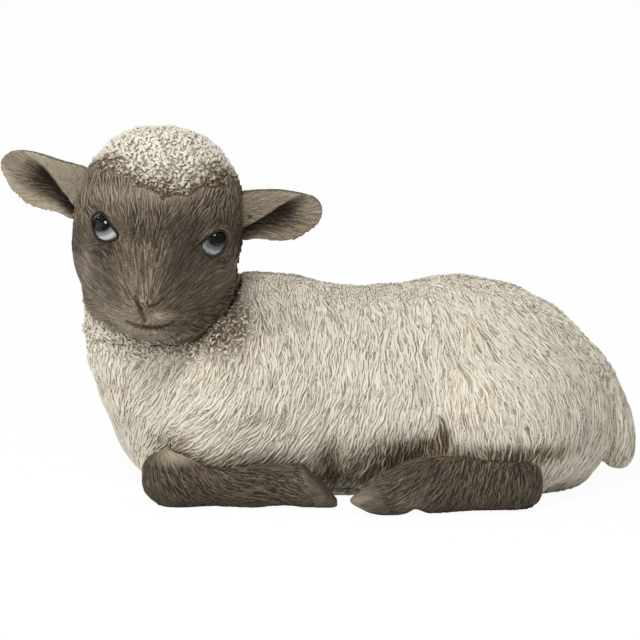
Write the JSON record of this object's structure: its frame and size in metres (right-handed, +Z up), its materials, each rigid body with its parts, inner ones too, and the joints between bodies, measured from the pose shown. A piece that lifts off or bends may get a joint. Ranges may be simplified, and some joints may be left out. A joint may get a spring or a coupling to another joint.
{
  "type": "lying lamb figurine",
  "caption": "Lying lamb ornament in cast, hand-painted resin, with carved cream wool, dark face and legs, inset glass eyes and a flat underside to stand on a floor or shelf.",
  "frame": {"origin": "on the ground under the middle of the whole figure", "axes": "+X from head to tail, -Y the side that the face is turned to, +Z up"},
  "size_m": [0.3763, 0.182, 0.2211],
  "materials": {
    "wool_paint": "matt cream paint on carved wool, brown wash in the grooves, dry-brushed white",
    "face_paint": "matt taupe-brown paint on carved short hair, paler dry-brushed strands",
    "leg_paint": "matt dark brown paint on carved hair, smooth grey-brown hooves",
    "eye_paint": "opaque glass ball with a painted grey iris and black pupil",
    "eye_glass": "polished clear dome",
    "bare_resin": "unpainted casting resin",
    "bung_rubber": "matt soft plug",
    "pin_steel": "plain wire"
  },
  "bodies": {
    "root": {"torso_casting": "wool_paint", "tail": "wool_paint", "head_casting": "face_paint", "ear_left": "face_paint", "ear_right": "face_paint", "eye_ball_left": "eye_paint", "eye_ball_right": "eye_paint", "eye_dome_left": "eye_glass", "eye_dome_right": "eye_glass", "foreleg_left": "leg_paint", "foreleg_right": "leg_paint", "hind_leg_left": "leg_paint", "hind_leg_right": "leg_paint", "base_plate": "bare_resin", "vent_bung": "bung_rubber", "leg_pins": "pin_steel", "ear_pins": "pin_steel", "tail_pin": "pin_steel"}
  },
  "joints": []
}
